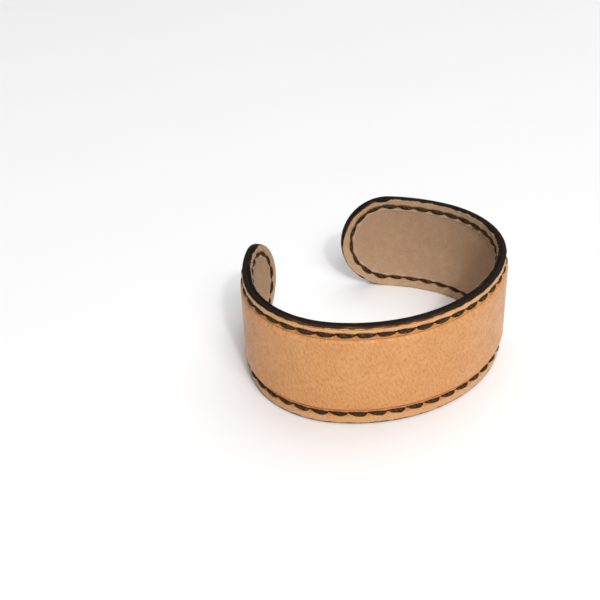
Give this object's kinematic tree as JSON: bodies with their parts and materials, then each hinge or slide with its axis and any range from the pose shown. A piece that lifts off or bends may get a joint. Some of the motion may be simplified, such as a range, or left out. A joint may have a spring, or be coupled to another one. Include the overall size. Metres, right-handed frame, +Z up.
{
  "type": "leather cuff bracelet",
  "caption": "Open C-shaped cuff bracelet of stitched tan leather over a springy metal blank, with rounded tips and a raised centre panel.",
  "frame": {"origin": "on the floor plane under the middle of the cuff, at the centre of the bounding box's lower face", "axes": "+Z up along the wrist, from the lower edge to the upper edge; +X across the wrist, the long way; +Y towards the gap between the tips, so the display front faces -Y"},
  "size_m": [0.0646, 0.0554, 0.0254],
  "materials": {
    "tan_leather": "smooth vegetable-tanned grain, polished, natural tan, with a near-black burnished edge",
    "lining": "matte pinkish-grey tan lining leather with a near-black burnished edge",
    "blank": "bare sheet metal, hidden between the leathers",
    "thread": "dark olive-brown waxed twisted thread"
  },
  "bodies": {
    "root": {"outer_leather": "tan_leather", "lining_leather": "lining", "cuff_blank": "blank", "thread_first_needle": "thread", "thread_second_needle": "thread"}
  },
  "joints": []
}
